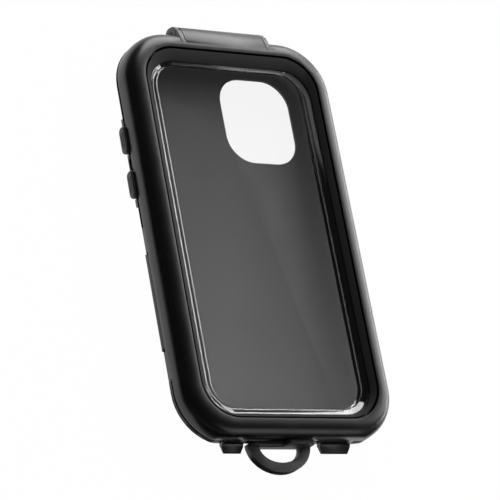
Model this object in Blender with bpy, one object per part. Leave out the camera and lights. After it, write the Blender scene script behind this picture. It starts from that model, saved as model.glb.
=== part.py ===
"""Hinged hard case for a phone, lying on its back.

The origin is on the flat back, under the middle of the phone. +Z points out of the front,
+Y points up the case to the hinge, and +X is to the right for someone who looks at the front.
A rounded rectangle above the phone's edge, called the rim line here, is where the front
frame meets the bevelled ring round the film. Sections are given outwards from that line.
"""

import math

import bmesh
import bpy
from mathutils import Vector

# The phone and the room around it
PHONE_WIDTH = 0.0757
PHONE_LENGTH = 0.1509
PHONE_THICKNESS = 0.0083
PHONE_CLEARANCE = 0.0005

# The rim line and the levels, counted up from the back
RIM_LINE_SETBACK = 0.00165
RIM_LINE_RADIUS = 0.0148
FLOOR_THICKNESS = 0.0030
PHONE_TO_FRAME = 0.0002
FRAME_HEIGHT = 0.0063

# The front frame
ROLL_WIDTH = 0.0070
ROLL_WIDTH_TOP = 0.0073
ROLL_DEPTH = 0.0083
ROLL_FULLNESS = 2.8
ROLL_STEPS = 12
CORNER_SHARE_TOP = 0.90
CORNER_SHARE_BOTTOM = 0.75
SKIRT_DROP = 0.0039
LOWER_SKIRT_RISE = 0.0015
SKIRT_THICKNESS = 0.0018
SKIRT_CHAMFER = 0.0002
BOTTOM_FACET = 0.0059
BOTTOM_SKIRT_THICKNESS = 0.0019
FRAME_FLANGE_THICKNESS = 0.0027
FRAME_FLANGE_SETBACK = 0.0005

# The bevelled ring round the film
RETAINER_SIDE = 0.0030
RETAINER_TOP = 0.0055
RETAINER_BOTTOM = 0.0023
RETAINER_SINK = 0.0003
RETAINER_BEVEL = 0.0016
RETAINER_DEPTH = 0.00265

# The touch film
FILM_THICKNESS = 0.00035
FILM_TO_PHONE = 0.0019
FILM_EDGE_SETBACK = 0.0006
FILM_FLAT_SIDE = 0.0071
FILM_FLAT_TOP = 0.0064
FILM_FLAT_BOTTOM = 0.0054
FILM_BEND_SHARE = 0.38

# The rear shell
REAR_EDGE_INSET = 0.0100
REAR_EDGE_INSET_BOTTOM = 0.0150
REAR_EDGE_FULLNESS = 1.3
REAR_EDGE_STEPS = 8
CHANNEL_HEIGHT = 0.0007
TONGUE_GAP = 0.0004
TONGUE_SWING_GAP = 0.0014
TONGUE_TO_FRAME = 0.0009
TONGUE_CHAMFER = 0.0003

# The seal between the shells
SEAL_WIDTH = 0.0016
SEAL_HEIGHT = 0.0016
SEAL_OFFSET = 0.0010

# Interlocking tabs and bars of the long sides
SIDE_TAB_TOP = 0.0036
SIDE_TAB_BOTTOM = -0.0594
SIDE_BAR_TOP = -0.0071
SIDE_BAR_BOTTOM = -0.0469
SIDE_BAR_SLANT = 0.0012
SIDE_BAR_CLEARANCE = 0.0005
SIDE_TAB_DROP = 0.0016
SIDE_TAB_INSET = 0.0006
PAD_TAB_TOP = 0.0324
PAD_TAB_BOTTOM = 0.0284

# The hinge
HINGE_OUT = 0.0087
HINGE_DOWN = 0.0080
HINGE_WIDTH = 0.0414
EAR_THICKNESS = 0.0018
EAR_RADIUS = 0.0033
EAR_SHOULDER = 0.0049
EAR_FOOT_IN = 0.0030
EAR_FOOT_OUT = 0.0015
EAR_FOOT_Z = 0.0022
BARREL_RADIUS = 0.0030
PIN_RADIUS = 0.0009
HOOD_OUT = 0.0007
HOOD_SINK = 0.00005
HOOD_STEPS = 10

# The snap latches at the free end
LATCH_LEFT = (-0.0280, -0.0187)
LATCH_RIGHT = (0.0157, 0.0296)
LATCH_REACH = 0.0094
LATCH_WALL_DROP = 0.0025
LATCH_DROP = 0.0055
LATCH_CHAMFER = 0.0009
LATCH_TIP_THICKNESS = 0.0010
LATCH_ROOT_RISE = 0.0012
LATCH_FILLET = ((0.0003, 0.0007), (0.0013, 0.0013))
LATCH_RECESS_SIDE = 0.0007
LATCH_RECESS_DEPTH = 0.0026

# The charging port and its cover
PORT_WIDTH = 0.0140
PORT_HEIGHT = 0.0049
PORT_LEVEL = 0.00635
PORT_NOTCH_SIDE = 0.0006
PORT_NOTCH_RISE = 0.0002
COVER_LEFT = -0.0170
COVER_RIGHT = 0.0110
COVER_THICKNESS = 0.0012
COVER_ABOVE_PORT = 0.0005
COVER_BELOW_PORT = 0.0005
COVER_CORNER = 0.0016
COVER_BLOCK_LEFT = -0.0025
COVER_BLOCK_RIGHT = 0.0100
COVER_BLOCK_RISE = 0.0026
COVER_BLOCK_THICKNESS = 0.0018
COVER_NOSE_DEPTH = 0.0018
COVER_NOSE_DRAFT = 0.0007
LOOP_LEFT = -0.0175
LOOP_RIGHT = 0.0102
LOOP_REACH = 0.0106
LOOP_BAND = 0.0040
LOOP_SIDE_BAND = 0.0047
LOOP_HEIGHT = 0.0030
LOOP_LEVEL = 0.0058

# Button pads
VOLUME_UP_Y = 0.0406
VOLUME_DOWN_Y = 0.0218
SIDE_BUTTON_Y = 0.0325
VOLUME_PAD_LENGTH = 0.0114
SIDE_PAD_LENGTH = 0.0200
PAD_HEIGHT = 0.0044
PAD_LEVEL = 0.0058
PAD_PROUD = 0.0012
PAD_TRAVEL = 0.0006
PAD_BED_LOW = 0.0050
PAD_BED_MARGIN = 0.0035
PAD_BED_INSET = 0.0002
STEM_SHARE = 0.60
STEM_HEIGHT = 0.0026
STEM_LEVEL = 0.0062
BUTTON_SEAL_WIDTH = 0.0009
BUTTON_SEAL_DEPTH = 0.0010

# The camera window
CAMERA_WIDTH = 0.0327
CAMERA_LENGTH = 0.0372
CAMERA_RIGHT_SETBACK = 0.00375
CAMERA_TOP_SETBACK = 0.00255
CAMERA_RADIUS = 0.0113
CAMERA_SEAT = 0.0015
CAMERA_SEAT_DEPTH = 0.0020
PANE_THICKNESS = 0.0009
PANE_SINK = 0.0002
CAMERA_SEAL_THICKNESS = 0.0004

# Gaps between neighbours that touch on the real thing
GAP = 0.0003
HAIR = 0.00003
CUT = 0.0010
CORNER_STEPS = 12

POCKET_HALF_WIDTH = PHONE_WIDTH / 2 + PHONE_CLEARANCE
POCKET_HALF_LENGTH = PHONE_LENGTH / 2 + PHONE_CLEARANCE
RIM_HALF_WIDTH = POCKET_HALF_WIDTH + RIM_LINE_SETBACK
RIM_HALF_LENGTH = POCKET_HALF_LENGTH + RIM_LINE_SETBACK

PHONE_TOP = FLOOR_THICKNESS + PHONE_THICKNESS
FRAME_LAND = PHONE_TOP + PHONE_TO_FRAME
FRONT = FRAME_LAND + FRAME_HEIGHT
SKIRT_END = FRAME_LAND - SKIRT_DROP
RIM_TOP = SKIRT_END - CHANNEL_HEIGHT
LOWER_SKIRT_END = SKIRT_END + LOWER_SKIRT_RISE
LOWER_RIM_TOP = RIM_TOP + LOWER_SKIRT_RISE
TONGUE_TOP = FRAME_LAND - TONGUE_TO_FRAME
RETAINER_BASE = FRONT - RETAINER_DEPTH
FLANGE_TOP = FRAME_LAND + FRAME_FLANGE_THICKNESS

SKIRT_INSIDE = ROLL_WIDTH - SKIRT_THICKNESS
BOTTOM_SKIRT_INSIDE = BOTTOM_FACET - BOTTOM_SKIRT_THICKNESS
TONGUE_SIDE = SKIRT_INSIDE - TONGUE_GAP
TONGUE_HINGE_SIDE = SKIRT_INSIDE - TONGUE_SWING_GAP
TONGUE_BOTTOM = BOTTOM_SKIRT_INSIDE - TONGUE_GAP

WALL_X = RIM_HALF_WIDTH + ROLL_WIDTH
FACET_Y = -(RIM_HALF_LENGTH + BOTTOM_FACET)
TONGUE_X = RIM_HALF_WIDTH + TONGUE_SIDE
HINGE_Y = RIM_HALF_LENGTH + HINGE_OUT
HINGE_Z = FRONT - HINGE_DOWN
HOOD_START = RIM_HALF_LENGTH + HOOD_OUT
HOOD_END = HINGE_Y + BARREL_RADIUS
HOOD_FOOT = HINGE_Z + BARREL_RADIUS / 2
PORT_LOW = PORT_LEVEL - PORT_HEIGHT / 2
PORT_HIGH = PORT_LEVEL + PORT_HEIGHT / 2
COVER_INSIDE_Y = FACET_Y - GAP
COVER_OUTSIDE_Y = COVER_INSIDE_Y - COVER_THICKNESS
COVER_LOW = PORT_LOW - COVER_BELOW_PORT
COVER_HIGH = PORT_HIGH + COVER_ABOVE_PORT
COVER_AXIS_Z = COVER_LOW + COVER_THICKNESS / 2
COVER_AXIS_Y = (COVER_INSIDE_Y + COVER_OUTSIDE_Y) / 2

ARC_STEPS = 10
SHARP_ANGLE = math.radians(35)


def clear_scene():
    for item in list(bpy.data.objects):
        bpy.data.objects.remove(item, do_unlink=True)


def principled(name, colour, roughness, metallic=0.0, transmission=0.0):
    made = bpy.data.materials.new(name)
    made.use_nodes = True
    shader = made.node_tree.nodes["Principled BSDF"]
    shader.inputs["Base Color"].default_value = (*colour, 1.0)
    shader.inputs["Roughness"].default_value = roughness
    shader.inputs["Metallic"].default_value = metallic
    shader.inputs["Transmission Weight"].default_value = transmission
    return made


def mesh_object(name, bm, material=None, location=(0.0, 0.0, 0.0)):
    """Make an object whose mesh, drawn in world places, has its origin at location."""
    bmesh.ops.recalc_face_normals(bm, faces=bm.faces)
    bmesh.ops.translate(bm, verts=bm.verts, vec=-Vector(location))
    mesh = bpy.data.meshes.new(name)
    bm.to_mesh(mesh)
    bm.free()
    mesh.shade_smooth()
    mesh.set_sharp_from_angle(angle=SHARP_ANGLE)
    made = bpy.data.objects.new(name, mesh)
    made.location = location
    bpy.context.scene.collection.objects.link(made)
    if material:
        mesh.materials.append(material)
    return made


def rounded_outline(left, right, bottom, top, radii):
    """Points round a rectangle, counter-clockwise from its lower left corner."""
    corners = (
        (left + radii[0], bottom + radii[0], 180),
        (right - radii[1], bottom + radii[1], 270),
        (right - radii[2], top - radii[2], 0),
        (left + radii[3], top - radii[3], 90),
    )
    points = []
    for (centre_x, centre_y, start), radius in zip(corners, radii):
        for step in range(CORNER_STEPS + 1):
            angle = math.radians(start + 90 * step / CORNER_STEPS)
            points.append((centre_x + radius * math.cos(angle), centre_y + radius * math.sin(angle)))
    return points


def rim_loop(z, side, top=None, bottom=None):
    """A loop at height z, so far outside the rim line at its sides, top and bottom."""
    top = side if top is None else top
    bottom = side if bottom is None else bottom
    shares = (CORNER_SHARE_BOTTOM, CORNER_SHARE_TOP) if side > 0 else (1.0, 1.0)
    low_radius, high_radius = [RIM_LINE_RADIUS + side * share for share in shares]
    outline = rounded_outline(
        -RIM_HALF_WIDTH - side,
        RIM_HALF_WIDTH + side,
        -RIM_HALF_LENGTH - bottom,
        RIM_HALF_LENGTH + top,
        (low_radius, low_radius, high_radius, high_radius),
    )
    return [(x, y, z) for x, y in outline]


def flat_loop(outline, z):
    return [(x, y, z) for x, y in outline]


def loft(loops, closed_ring=False, bm=None):
    """Skin a row of loops that have equally many points, with caps or closed on itself."""
    bm = bm or bmesh.new()
    rows = [[bm.verts.new(point) for point in loop] for loop in loops]
    following = rows[1:] + rows[:1] if closed_ring else rows[1:]
    for row, other in zip(rows, following):
        for index, vert in enumerate(row):
            after = (index + 1) % len(row)
            bm.faces.new((vert, row[after], other[after], other[index]))
    if not closed_ring:
        bm.faces.new(reversed(rows[0]))
        bm.faces.new(rows[-1])
    return bm


def bar_along_x(section, left, right):
    """Extrude a section of (y, z) points along X."""
    return loft([[(x, y, z) for y, z in section] for x in (left, right)])


def block(low, high):
    section = ((low[1], low[2]), (high[1], low[2]), (high[1], high[2]), (low[1], high[2]))
    return bar_along_x(section, low[0], high[0])


def arc(centre_y, centre_z, radius, start, end, steps=ARC_STEPS):
    """Points on an arc in the plane across X; 0 degrees is +Y and 90 degrees is +Z."""
    angles = [math.radians(start + (end - start) * step / steps) for step in range(steps + 1)]
    return [(centre_y + radius * math.cos(a), centre_z + radius * math.sin(a)) for a in angles]


def round_rod(centre_y, centre_z, radius, left, right):
    circle = arc(centre_y, centre_z, radius, 0, 360, 2 * ARC_STEPS)[:-1]
    return bar_along_x(circle, left, right)


def combine(target, bm, name, operation):
    """Join a helper shape to the target, or cut it out, and keep the helper as a wire guide."""
    helper = mesh_object(name, bm)
    helper.hide_render = True
    helper.display_type = "WIRE"
    step = target.modifiers.new(name, "BOOLEAN")
    step.operation = operation
    step.solver = "EXACT"
    step.object = helper


def add(target, bm, name):
    combine(target, bm, name, "UNION")


def cut(target, bm, name):
    combine(target, bm, name, "DIFFERENCE")


def hinge_side_bars(target, shape, name, operation):
    """Do the same at the left and the right end of the hinge."""
    for side, word in ((-1, "left"), (1, "right")):
        combine(target, shape(side), f"{name}_{word}", operation)


def side_block(side, inner, outer, low_y, high_y, low_z, high_z):
    """A block on the left (-1) or right (1) wall, between two distances outside the rim line."""
    edges = sorted((side * (RIM_HALF_WIDTH + inner), side * (RIM_HALF_WIDTH + outer)))
    return block((edges[0], low_y, low_z), (edges[1], high_y, high_z))


def side_bar(side, inner, outer, top, bottom, slant, low_z, high_z):
    """A bar on a side wall whose two ends slant, so that it is shorter towards the front."""
    edges = [side * (RIM_HALF_WIDTH + inner), side * (RIM_HALF_WIDTH + outer)]
    section = ((bottom, low_z), (top, low_z), (top - slant, high_z), (bottom + slant, high_z))
    return bar_along_x(section, *edges)


def latch_section():
    """Section (y, z) of a latch tongue: a wall that goes on down from the skirt, then a finger lip."""
    root_in = -(RIM_HALF_LENGTH + BOTTOM_SKIRT_INSIDE + GAP)
    wall = FACET_Y
    tip = -(RIM_HALF_LENGTH + LATCH_REACH)
    wall_low = LOWER_SKIRT_END - LATCH_WALL_DROP
    low = LOWER_SKIRT_END - LATCH_DROP
    fillet = [(wall - out, wall_low - down) for out, down in LATCH_FILLET]
    return (
        (root_in, LOWER_SKIRT_END + LATCH_ROOT_RISE),
        (wall + GAP, LOWER_SKIRT_END + LATCH_ROOT_RISE),
        (wall, LOWER_SKIRT_END),
        (wall, wall_low),
        *fillet,
        (tip + LATCH_TIP_THICKNESS / 3, low + LATCH_TIP_THICKNESS),
        (tip, low + LATCH_TIP_THICKNESS / 2),
        (tip + LATCH_TIP_THICKNESS / 2, low),
        (wall, low),
        (root_in, low + LATCH_TIP_THICKNESS * 1.5),
    )


def latch_tongue(left, right):
    """One tongue, with the corners of its lip cut off."""
    shape = bar_along_x(latch_section(), left, right)
    tip = -(RIM_HALF_LENGTH + LATCH_REACH)
    for vert in shape.verts:
        if vert.co.y < tip + LATCH_TIP_THICKNESS * 1.5:
            vert.co.x += LATCH_CHAMFER if vert.co.x < (left + right) / 2 else -LATCH_CHAMFER
    return shape


def hood_slope():
    """Points (y, z) on the hood's outer face, a quarter of an oval from the roll out to the barrel."""
    points = []
    for step in range(HOOD_STEPS + 1):
        angle = math.pi / 2 * step / HOOD_STEPS
        height = (FRONT - HOOD_SINK - HOOD_FOOT) * math.cos(angle)
        points.append((HOOD_START + (HOOD_END - HOOD_START) * math.sin(angle), HOOD_FOOT + height))
    return points


def hood_section():
    """Section (y, z) of the frame's hood, from its top face out over the barrel and back."""
    barrel = arc(HINGE_Y, HINGE_Z, BARREL_RADIUS, 0, -150, ARC_STEPS)
    inside = [(RIM_HALF_LENGTH + SKIRT_INSIDE + GAP, HINGE_Z), (HOOD_START, FRAME_LAND + GAP)]
    return hood_slope() + barrel + inside


def hood_shoulder_section():
    """Section (y, z) of the hood's front half, which goes on in front of each ear."""
    slope = [(y, z) for y, z in hood_slope() if y < HINGE_Y]
    back_y = HINGE_Y + GAP
    share = (back_y - HOOD_START) / (HOOD_END - HOOD_START)
    back_z = HOOD_FOOT + (FRONT - HOOD_SINK - HOOD_FOOT) * math.sqrt(1 - share ** 2)
    inside = [(back_y, back_z), (back_y, HINGE_Z), (HOOD_START, FRAME_LAND + GAP)]
    return slope + inside


def ear_section():
    """Section (y, z) of a hinge ear: its back is flush with the hood, its front turns clear of it."""
    back = arc(HINGE_Y, HINGE_Z, EAR_RADIUS, -60, 15)
    flush = []
    for y, z in reversed(hood_slope()):
        if math.hypot(y - HINGE_Y, z - HINGE_Z) < EAR_SHOULDER:
            flush.append((y, z))
    last_y, last_z = flush[-1]
    start = math.degrees(math.atan2(last_z - HINGE_Z, last_y - HINGE_Y)) + 2
    front = arc(HINGE_Y, HINGE_Z, EAR_SHOULDER, start, 215, 2 * ARC_STEPS)
    wall_y = RIM_HALF_LENGTH + ROLL_WIDTH_TOP
    foot = [
        (wall_y - SKIRT_THICKNESS, RIM_TOP - GAP),
        (wall_y - EAR_FOOT_IN, EAR_FOOT_Z),
        (wall_y - EAR_FOOT_OUT, EAR_FOOT_Z),
    ]
    return back + flush + front + foot


def make_front_frame(material):
    roll = []
    for step in range(ROLL_STEPS + 1):
        angle = math.pi / 2 * step / ROLL_STEPS
        outward = max(math.sin(angle), 0.0) ** (2 / ROLL_FULLNESS)
        drop = 1 - max(math.cos(angle), 0.0) ** (2 / ROLL_FULLNESS)
        roll.append(rim_loop(FRONT - ROLL_DEPTH * drop, ROLL_WIDTH * outward, ROLL_WIDTH_TOP * outward))
    flange = [-(inset - FRAME_FLANGE_SETBACK) for inset in (RETAINER_SIDE, RETAINER_TOP, RETAINER_BOTTOM)]
    under = [
        rim_loop(SKIRT_END + SKIRT_CHAMFER, ROLL_WIDTH, ROLL_WIDTH_TOP),
        rim_loop(SKIRT_END, ROLL_WIDTH - SKIRT_CHAMFER, ROLL_WIDTH_TOP - SKIRT_CHAMFER),
        rim_loop(SKIRT_END, SKIRT_INSIDE, SKIRT_INSIDE, BOTTOM_SKIRT_INSIDE),
        rim_loop(FRAME_LAND, SKIRT_INSIDE, SKIRT_INSIDE, BOTTOM_SKIRT_INSIDE),
        rim_loop(FRAME_LAND, *flange),
        rim_loop(FLANGE_TOP, *flange),
        rim_loop(FLANGE_TOP, 0.0),
    ]
    frame = mesh_object("front_frame", loft(roll + under, closed_ring=True), material)

    facet_low = (-WALL_X, FACET_Y - ROLL_WIDTH, SKIRT_END - CUT)
    cut(frame, block(facet_low, (WALL_X, FACET_Y, FRONT + CUT)), "bottom_facet")
    raised_low = (-WALL_X - CUT, FACET_Y - ROLL_WIDTH, SKIRT_END - CUT)
    raised_high = (WALL_X + CUT, SIDE_TAB_BOTTOM + GAP, LOWER_SKIRT_END)
    cut(frame, block(raised_low, raised_high), "lower_skirt_rise")

    hood_half = HINGE_WIDTH / 2 - EAR_THICKNESS - GAP
    add(frame, bar_along_x(hood_section(), -hood_half, hood_half), "hinge_hood")

    def shoulder(side):
        edges = sorted((side * (hood_half + GAP), side * HINGE_WIDTH / 2))
        return bar_along_x(hood_shoulder_section(), *edges)

    hinge_side_bars(frame, shoulder, "hood_shoulder", "UNION")
    cut(frame, round_rod(HINGE_Y, HINGE_Z, PIN_RADIUS + GAP, -WALL_X, WALL_X), "hinge_bore")

    def ear_room(side):
        edges = sorted((side * hood_half, side * (HINGE_WIDTH / 2 + GAP)))
        return round_rod(HINGE_Y, HINGE_Z, EAR_SHOULDER + GAP, *edges)

    hinge_side_bars(frame, ear_room, "ear_room", "DIFFERENCE")

    upper = (SIDE_TAB_TOP, SIDE_BAR_TOP + SIDE_BAR_CLEARANCE)
    lower = (SIDE_BAR_BOTTOM - SIDE_BAR_CLEARANCE, SIDE_TAB_BOTTOM)
    between_pads = (PAD_TAB_TOP, PAD_TAB_BOTTOM)
    for side, (top, bottom), name in (
        (-1, upper, "side_tab_upper_left"),
        (-1, lower, "side_tab_lower_left"),
        (1, upper, "side_tab_upper_right"),
        (1, lower, "side_tab_lower_right"),
        (-1, between_pads, "pad_tab"),
    ):
        tab = side_block(
            side,
            SKIRT_INSIDE + GAP / 3,
            ROLL_WIDTH - SIDE_TAB_INSET,
            bottom,
            top,
            SKIRT_END - SIDE_TAB_DROP,
            SKIRT_END + SKIRT_CHAMFER * 3,
        )
        add(frame, tab, name)

    for left, right, word in ((*LATCH_LEFT, "left"), (*LATCH_RIGHT, "right")):
        add(frame, latch_tongue(left, right), f"latch_tongue_{word}")

    notch_half = PORT_WIDTH / 2 + PORT_NOTCH_SIDE
    notch_low = (-notch_half, FACET_Y - CUT, LOWER_SKIRT_END - CUT)
    notch_high = (notch_half, FACET_Y + BOTTOM_SKIRT_THICKNESS + TONGUE_GAP, PORT_HIGH + PORT_NOTCH_RISE)
    cut(frame, block(notch_low, notch_high), "port_notch")

    for name, side, centre_y, length in BUTTONS:
        half = length / 2 + GAP
        room = side_block(
            side,
            SKIRT_INSIDE - CUT / 2,
            ROLL_WIDTH + CUT,
            centre_y - half,
            centre_y + half,
            SKIRT_END - CUT,
            PAD_LEVEL + PAD_HEIGHT / 2 + GAP,
        )
        cut(frame, room, f"{name}_skirt_room")
    return frame


def make_film_retainer(material):
    outer = -GAP
    loops = [
        rim_loop(RETAINER_BASE, outer),
        rim_loop(FRONT - RETAINER_SINK, outer),
        rim_loop(FRONT - RETAINER_SINK - RETAINER_BEVEL, -RETAINER_SIDE, -RETAINER_TOP, -RETAINER_BOTTOM),
        rim_loop(RETAINER_BASE, -RETAINER_SIDE, -RETAINER_TOP, -RETAINER_BOTTOM),
    ]
    return mesh_object("film_retainer", loft(loops, closed_ring=True), material)


def make_touch_film(material):
    """A clear sheet with a raised edge under the retainer and a flat floor over the screen."""
    edge_z = RETAINER_BASE - GAP
    floor_z = PHONE_TOP + FILM_TO_PHONE + FILM_THICKNESS
    lips = [inset + GAP for inset in (RETAINER_SIDE, RETAINER_TOP, RETAINER_BOTTOM)]
    flats = (FILM_FLAT_SIDE, FILM_FLAT_TOP, FILM_FLAT_BOTTOM)
    upper = (
        (edge_z, [-FILM_EDGE_SETBACK] * 3),
        (edge_z, [-lip for lip in lips]),
        ((edge_z + floor_z) / 2, [-(lip + (flat - lip) * FILM_BEND_SHARE) for lip, flat in zip(lips, flats)]),
        (floor_z, [-flat for flat in flats]),
    )
    top_loops = [rim_loop(z, *offsets) for z, offsets in upper]
    low_loops = [rim_loop(z - FILM_THICKNESS, *offsets) for z, offsets in reversed(upper)]
    bm = loft(top_loops[::-1] + low_loops[::-1])
    return mesh_object("touch_film", bm, material)


def make_rear_shell(material):
    edge_height = RIM_TOP - TONGUE_CHAMFER
    outside = []
    for step in range(REAR_EDGE_STEPS + 1):
        angle = math.pi / 2 * step / REAR_EDGE_STEPS
        inset = 1 - max(math.sin(angle), 0.0) ** (2 / REAR_EDGE_FULLNESS)
        rise = 1 - max(math.cos(angle), 0.0) ** (2 / REAR_EDGE_FULLNESS)
        side = ROLL_WIDTH - REAR_EDGE_INSET * inset
        top = ROLL_WIDTH_TOP - REAR_EDGE_INSET * inset
        bottom = ROLL_WIDTH - REAR_EDGE_INSET_BOTTOM * inset
        outside.append(rim_loop(edge_height * rise, side, top, bottom))
    tongue = (TONGUE_SIDE, TONGUE_HINGE_SIDE, TONGUE_BOTTOM)
    tongue_top = [offset - TONGUE_CHAMFER for offset in tongue]
    groove_out = SEAL_OFFSET + SEAL_WIDTH / 2 + GAP
    groove_in = SEAL_OFFSET - SEAL_WIDTH / 2 - GAP
    groove_floor = FRAME_LAND - 2 * GAP - SEAL_HEIGHT
    pocket = -RIM_LINE_SETBACK
    inside = [
        rim_loop(RIM_TOP, ROLL_WIDTH - TONGUE_CHAMFER, ROLL_WIDTH_TOP - TONGUE_CHAMFER),
        rim_loop(RIM_TOP, *tongue),
        rim_loop(TONGUE_TOP - TONGUE_CHAMFER, *tongue),
        rim_loop(TONGUE_TOP, *tongue_top),
        rim_loop(TONGUE_TOP, groove_out),
        rim_loop(groove_floor, groove_out),
        rim_loop(groove_floor, groove_in),
        rim_loop(TONGUE_TOP, groove_in),
        rim_loop(TONGUE_TOP, pocket),
        rim_loop(FLOOR_THICKNESS, pocket),
    ]
    shell = mesh_object("rear_shell", loft(outside + inside), material)

    add(shell, lower_rim(tongue), "lower_rim")
    facet_low = (-WALL_X, FACET_Y - ROLL_WIDTH, -CUT)
    cut(shell, block(facet_low, (WALL_X, FACET_Y, LOWER_RIM_TOP + CUT)), "rear_facet")

    def ear(side):
        edges = sorted((side * (HINGE_WIDTH / 2 - EAR_THICKNESS), side * HINGE_WIDTH / 2))
        return bar_along_x(ear_section(), *edges)

    hinge_side_bars(shell, ear, "hinge_ear", "UNION")
    cut(shell, round_rod(HINGE_Y, HINGE_Z, PIN_RADIUS + GAP, -WALL_X, WALL_X), "ear_bore")

    for side, word in ((-1, "left"), (1, "right")):
        tab_low = SKIRT_END - SIDE_TAB_DROP - GAP
        room = side_block(
            side, TONGUE_SIDE, ROLL_WIDTH + CUT, SIDE_TAB_BOTTOM - GAP, SIDE_TAB_TOP + GAP, tab_low, SKIRT_END
        )
        cut(shell, room, f"tab_room_{word}")
        bar = side_bar(
            side,
            TONGUE_SIDE - CUT / 2,
            ROLL_WIDTH - SIDE_TAB_INSET / 2,
            SIDE_BAR_TOP,
            SIDE_BAR_BOTTOM,
            SIDE_BAR_SLANT,
            tab_low - CUT / 2,
            SKIRT_END - GAP,
        )
        add(shell, bar, f"side_bar_{word}")

    for left, right, word in ((*LATCH_LEFT, "left"), (*LATCH_RIGHT, "right")):
        inner_y = FACET_Y + LATCH_RECESS_DEPTH
        low = (left - LATCH_RECESS_SIDE, FACET_Y - CUT, -CUT)
        high = (right + LATCH_RECESS_SIDE, inner_y, LOWER_SKIRT_END + CUT)
        cut(shell, block(low, high), f"latch_recess_{word}")

    port_low = (-PORT_WIDTH / 2, FACET_Y - CUT, PORT_LOW)
    port_high = (PORT_WIDTH / 2, -POCKET_HALF_LENGTH + CUT, PORT_HIGH)
    cut(shell, block(port_low, port_high), "port_opening")

    for side, word in ((-1, "left"), (1, "right")):
        bed_low = VOLUME_DOWN_Y - VOLUME_PAD_LENGTH / 2 - PAD_BED_MARGIN
        bed_high = VOLUME_UP_Y + VOLUME_PAD_LENGTH / 2 + PAD_BED_MARGIN
        outer = ROLL_WIDTH - PAD_BED_INSET
        bed = side_block(side, TONGUE_SIDE, outer, bed_low, bed_high, PAD_BED_LOW, RIM_TOP - PAD_BED_INSET)
        add(shell, bed, f"pad_bed_{word}")
    pad_tab_low = SKIRT_END - SIDE_TAB_DROP - GAP
    pad_tab_room = side_block(
        -1, TONGUE_SIDE, ROLL_WIDTH + CUT, PAD_TAB_BOTTOM - GAP, PAD_TAB_TOP + GAP, pad_tab_low, SKIRT_END
    )
    cut(shell, pad_tab_room, "pad_tab_room")
    for name, side, centre_y, length in BUTTONS:
        half = length / 2 + GAP
        pad_low = PAD_LEVEL - PAD_HEIGHT / 2 - GAP
        room = side_block(
            side, TONGUE_SIDE, ROLL_WIDTH + CUT, centre_y - half, centre_y + half, pad_low, SKIRT_END
        )
        cut(shell, room, f"{name}_pad_room")
        stem_half = length * STEM_SHARE / 2 + GAP
        stem_z = STEM_HEIGHT / 2 + GAP
        slot = side_block(
            side,
            -RIM_LINE_SETBACK - CUT,
            TONGUE_SIDE + CUT,
            centre_y - stem_half,
            centre_y + stem_half,
            STEM_LEVEL - stem_z,
            STEM_LEVEL + stem_z,
        )
        cut(shell, slot, f"{name}_slot")
        seal_half = stem_half + BUTTON_SEAL_WIDTH + GAP
        seal_z = stem_z + BUTTON_SEAL_WIDTH + GAP
        seat = side_block(
            side,
            TONGUE_SIDE - BUTTON_SEAL_DEPTH - 2 * GAP,
            TONGUE_SIDE + CUT,
            centre_y - seal_half,
            centre_y + seal_half,
            STEM_LEVEL - seal_z,
            STEM_LEVEL + seal_z,
        )
        cut(shell, seat, f"{name}_seal_seat")

    aperture = camera_outline(0.0)
    cut(shell, loft([flat_loop(aperture, z) for z in (-CUT, FLOOR_THICKNESS + CUT)]), "camera_aperture")
    seat = camera_outline(CAMERA_SEAT)
    cut(shell, loft([flat_loop(seat, z) for z in (-CUT, CAMERA_SEAT_DEPTH)]), "camera_seat")
    return shell


def lower_rim(tongue):
    """A band that raises the rim of the rear shell below the side tabs."""
    root = [offset - SKIRT_THICKNESS / 2 for offset in tongue]
    loops = [
        rim_loop(RIM_TOP - CHANNEL_HEIGHT, *root),
        rim_loop(RIM_TOP - CHANNEL_HEIGHT / 2, ROLL_WIDTH - HAIR, ROLL_WIDTH_TOP, ROLL_WIDTH),
        rim_loop(LOWER_RIM_TOP - TONGUE_CHAMFER, ROLL_WIDTH - HAIR, ROLL_WIDTH_TOP, ROLL_WIDTH),
        rim_loop(LOWER_RIM_TOP, ROLL_WIDTH - TONGUE_CHAMFER),
        rim_loop(LOWER_RIM_TOP, *root),
    ]
    band = loft(loops, closed_ring=True)
    bmesh.ops.bisect_plane(
        band,
        geom=band.verts[:] + band.edges[:] + band.faces[:],
        plane_co=(0, SIDE_TAB_BOTTOM - GAP, 0),
        plane_no=(0, 1, 0),
        clear_outer=True,
    )
    bmesh.ops.holes_fill(band, edges=[edge for edge in band.edges if edge.is_boundary])
    return band


def camera_outline(grown):
    """The camera window's outline, grown outwards."""
    right = POCKET_HALF_WIDTH - CAMERA_RIGHT_SETBACK
    top = POCKET_HALF_LENGTH - CAMERA_TOP_SETBACK
    radii = (CAMERA_RADIUS + grown,) * 4
    return rounded_outline(
        right - CAMERA_WIDTH - grown, right + grown, top - CAMERA_LENGTH - grown, top + grown, radii
    )


def make_camera_window(material):
    outline = camera_outline(CAMERA_SEAT - GAP)
    loops = [flat_loop(outline, z) for z in (PANE_SINK, PANE_SINK + PANE_THICKNESS)]
    return mesh_object("camera_window", loft(loops), material)


def make_camera_seal(material):
    low = CAMERA_SEAT_DEPTH - GAP / 2 - CAMERA_SEAL_THICKNESS
    high = low + CAMERA_SEAL_THICKNESS
    outer = camera_outline(CAMERA_SEAT - GAP)
    inner = camera_outline(GAP)
    loops = [flat_loop(outer, low), flat_loop(outer, high), flat_loop(inner, high), flat_loop(inner, low)]
    return mesh_object("camera_window_seal", loft(loops, closed_ring=True), material)


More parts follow.
